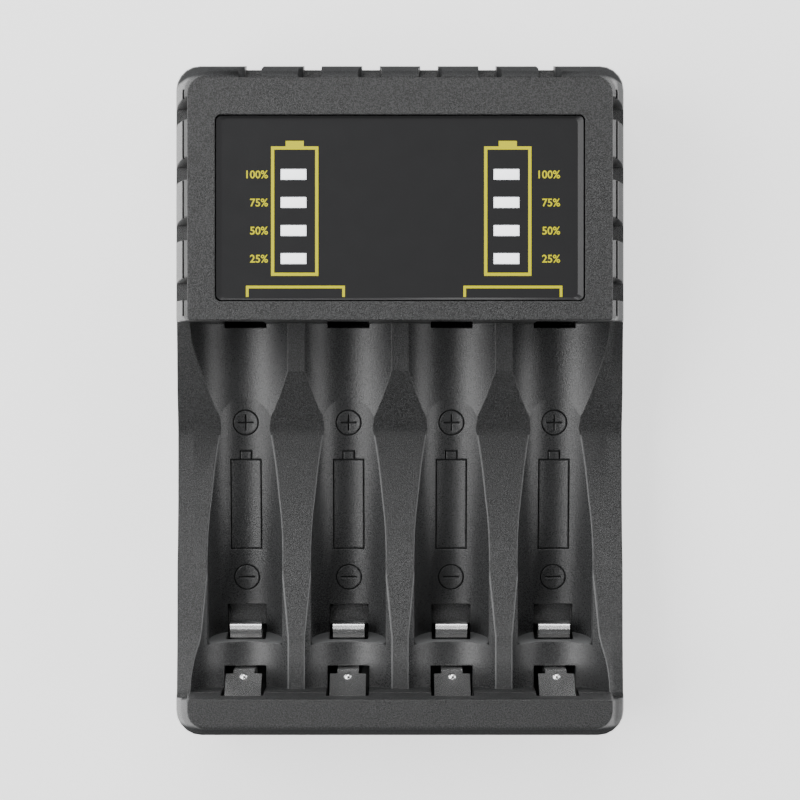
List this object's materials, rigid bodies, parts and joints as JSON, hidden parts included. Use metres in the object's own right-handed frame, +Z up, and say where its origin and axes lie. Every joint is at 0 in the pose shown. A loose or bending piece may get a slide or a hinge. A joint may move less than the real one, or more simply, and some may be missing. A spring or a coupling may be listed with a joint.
{
  "type": "battery charger",
  "caption": "Slim desktop charger for AA and AAA cells with a row of open slots, sprung end contacts, a raised display hood with level bars and a USB inlet.",
  "frame": {"origin": "on the table under the middle of the outline, at the bottom of the feet", "axes": "+X to the right, +Y towards the display hood, +Z up out of the front face"},
  "size_m": [0.0644, 0.096, 0.028],
  "materials": {
    "black_abs": "fine spark texture",
    "smoked_window": "smooth, slightly glossy",
    "light_guide": "milky",
    "lamp": "clear resin",
    "nickel_steel": "bright nickel plate",
    "board_green": "solder mask",
    "chip_epoxy": "satin",
    "ferrite": "matt",
    "capacitor_can": "satin",
    "ribbon_film": "smooth film",
    "lead_sleeve": "smooth sleeve",
    "screw_steel": "black zinc",
    "foot_rubber": "matt"
  },
  "bodies": {
    "charger": {"back_cover": "black_abs", "board_ribbon": "ribbon_film", "charge_controller": "chip_epoxy", "contact_board": "board_green", "cover_screw_1": "screw_steel", "cover_screw_2": "screw_steel", "cover_screw_3": "screw_steel", "cover_screw_4": "screw_steel", "display_board": "board_green", "display_window": "smoked_window", "front_housing": "black_abs", "input_capacitor": "capacitor_can", "lamp_left_1": "lamp", "lamp_left_2": "lamp", "lamp_left_3": "lamp", "lamp_left_4": "lamp", "lamp_right_1": "lamp", "lamp_right_2": "lamp", "lamp_right_3": "lamp", "lamp_right_4": "lamp", "light_guide_left": "light_guide", "light_guide_right": "light_guide", "main_board": "board_green", "negative_lead_1": "lead_sleeve", "negative_lead_2": "lead_sleeve", "negative_lead_3": "lead_sleeve", "negative_lead_4": "lead_sleeve", "output_capacitor": "capacitor_can", "positive_contact_1": "nickel_steel", "positive_contact_2": "nickel_steel", "positive_contact_3": "nickel_steel", "positive_contact_4": "nickel_steel", "power_inductor": "ferrite", "rubber_foot_1": "foot_rubber", "rubber_foot_2": "foot_rubber", "rubber_foot_3": "foot_rubber", "rubber_foot_4": "foot_rubber", "slot_switch_1": "chip_epoxy", "slot_switch_2": "chip_epoxy", "slot_switch_3": "chip_epoxy", "slot_switch_4": "chip_epoxy", "usb_socket": "nickel_steel"},
    "aa_contact_1_leaf": {"aa_contact_1": "nickel_steel"},
    "aaa_contact_1_leaf": {"aaa_contact_1": "nickel_steel"},
    "aa_contact_2_leaf": {"aa_contact_2": "nickel_steel"},
    "aaa_contact_2_leaf": {"aaa_contact_2": "nickel_steel"},
    "aa_contact_3_leaf": {"aa_contact_3": "nickel_steel"},
    "aaa_contact_3_leaf": {"aaa_contact_3": "nickel_steel"},
    "aa_contact_4_leaf": {"aa_contact_4": "nickel_steel"},
    "aaa_contact_4_leaf": {"aaa_contact_4": "nickel_steel"}
  },
  "joints": [
    {"name": "aa_contact_1_flex", "type": "slide", "parent": "charger", "child": "aa_contact_1_leaf", "axis": [0, -1, 0], "range_m": [0, 0.0015], "stiffness_N_per_m": 200},
    {"name": "aaa_contact_1_flex", "type": "slide", "parent": "charger", "child": "aaa_contact_1_leaf", "axis": [0, -1, 0], "range_m": [0, 0.0007], "stiffness_N_per_m": 200},
    {"name": "aa_contact_2_flex", "type": "slide", "parent": "charger", "child": "aa_contact_2_leaf", "axis": [0, -1, 0], "range_m": [0, 0.0015], "stiffness_N_per_m": 200},
    {"name": "aaa_contact_2_flex", "type": "slide", "parent": "charger", "child": "aaa_contact_2_leaf", "axis": [0, -1, 0], "range_m": [0, 0.0007], "stiffness_N_per_m": 200},
    {"name": "aa_contact_3_flex", "type": "slide", "parent": "charger", "child": "aa_contact_3_leaf", "axis": [0, -1, 0], "range_m": [0, 0.0015], "stiffness_N_per_m": 200},
    {"name": "aaa_contact_3_flex", "type": "slide", "parent": "charger", "child": "aaa_contact_3_leaf", "axis": [0, -1, 0], "range_m": [0, 0.0007], "stiffness_N_per_m": 200},
    {"name": "aa_contact_4_flex", "type": "slide", "parent": "charger", "child": "aa_contact_4_leaf", "axis": [0, -1, 0], "range_m": [0, 0.0015], "stiffness_N_per_m": 200},
    {"name": "aaa_contact_4_flex", "type": "slide", "parent": "charger", "child": "aaa_contact_4_leaf", "axis": [0, -1, 0], "range_m": [0, 0.0007], "stiffness_N_per_m": 200}
  ]
}
